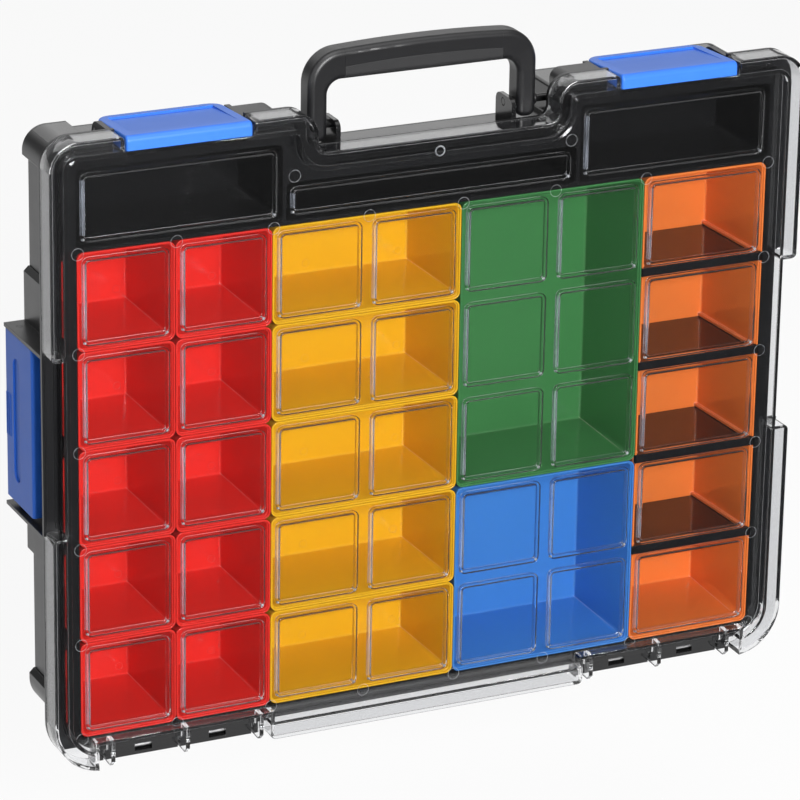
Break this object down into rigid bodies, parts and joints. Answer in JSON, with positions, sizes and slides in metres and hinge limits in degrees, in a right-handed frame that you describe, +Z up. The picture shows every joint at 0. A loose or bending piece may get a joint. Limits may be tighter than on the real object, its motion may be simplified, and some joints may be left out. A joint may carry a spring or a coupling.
{
  "type": "assortment case",
  "caption": "Flat carrying case with a clear hinged lid, two latches, a folding handle, a side coupler and lift-out open boxes in five colours for sorting small parts",
  "frame": {"origin": "middle of the overall outline on the surface that the case stands on", "axes": "+X to the right as seen from the lid, +Y from the lid to the back, +Z up to the handle"},
  "size_m": [0.44, 0.071, 0.3827],
  "materials": {
    "black_plastic": "satin moulded",
    "clear_plastic": "clear moulded polycarbonate",
    "steel": "bright drawn wire",
    "blue_plastic": "satin moulded",
    "coupler_plastic": "satin moulded",
    "handle_plastic": "fine grain",
    "grip_plastic": "soft touch",
    "red_plastic": "gloss moulded",
    "yellow_plastic": "gloss moulded",
    "green_plastic": "gloss moulded",
    "box_blue_plastic": "gloss moulded",
    "orange_plastic": "gloss moulded"
  },
  "bodies": {
    "case": {"base_rim": "black_plastic", "base_tub": "black_plastic", "left_tray": "black_plastic", "middle_tray": "black_plastic", "right_tray": "black_plastic", "left_low_pad": "black_plastic", "right_low_pad": "black_plastic", "left_hinge_bar": "black_plastic", "right_hinge_bar": "black_plastic", "left_latch_ear": "black_plastic", "right_latch_ear": "black_plastic", "left_latch_block": "black_plastic", "right_latch_block": "black_plastic", "left_handle_ear": "black_plastic", "right_handle_ear": "black_plastic", "upper_coupler_plate": "black_plastic", "lower_coupler_plate": "black_plastic", "left_foot": "black_plastic", "right_foot": "black_plastic", "left_hinge_pin": "steel", "right_hinge_pin": "steel", "left_latch_pin": "steel", "right_latch_pin": "steel", "left_handle_pin": "black_plastic", "right_handle_pin": "black_plastic", "side_coupler_pin": "black_plastic", "red_box_1_1": "red_plastic", "red_box_1_2": "red_plastic", "red_box_2_1": "red_plastic", "red_box_2_2": "red_plastic", "red_box_3_1": "red_plastic", "red_box_3_2": "red_plastic", "red_box_4_1": "red_plastic", "red_box_4_2": "red_plastic", "red_box_5_1": "red_plastic", "red_box_5_2": "red_plastic", "yellow_box_1": "yellow_plastic", "yellow_box_2": "yellow_plastic", "yellow_box_3": "yellow_plastic", "yellow_box_4": "yellow_plastic", "yellow_box_5": "yellow_plastic", "green_box": "green_plastic", "blue_box": "box_blue_plastic", "orange_box": "orange_plastic", "divider_1": "black_plastic", "divider_2": "black_plastic", "divider_3": "black_plastic", "divider_4": "black_plastic"},
    "lid": {"lid": "clear_plastic"},
    "left_latch": {"left_latch": "blue_plastic"},
    "right_latch": {"right_latch": "blue_plastic"},
    "handle": {"handle_frame": "handle_plastic", "handle_grip_cover": "handle_plastic", "handle_grip_insert": "grip_plastic"},
    "side_coupler": {"side_coupler": "coupler_plastic"}
  },
  "joints": [
    {"name": "lid_hinge", "type": "hinge", "parent": "case", "child": "lid", "pos_m": [0, -0.0205, 0.005], "axis": [1, 0, 0], "range_deg": [0, 110]},
    {"name": "left_latch_pivot", "type": "hinge", "parent": "case", "child": "left_latch", "pos_m": [-0.1425, 0.001, 0.3485], "axis": [-1, 0, 0], "range_deg": [0, 55]},
    {"name": "right_latch_pivot", "type": "hinge", "parent": "case", "child": "right_latch", "pos_m": [0.1425, 0.001, 0.3485], "axis": [-1, 0, 0], "range_deg": [0, 55]},
    {"name": "handle_pivot", "type": "hinge", "parent": "case", "child": "handle", "pos_m": [0, -0.0077, 0.3395], "axis": [-1, 0, 0], "range_deg": [0, 90]},
    {"name": "side_coupler_pivot", "type": "hinge", "parent": "case", "child": "side_coupler", "pos_m": [-0.2145, 0.0265, 0.1865], "axis": [0, 0, -1], "range_deg": [0, 95]}
  ]
}
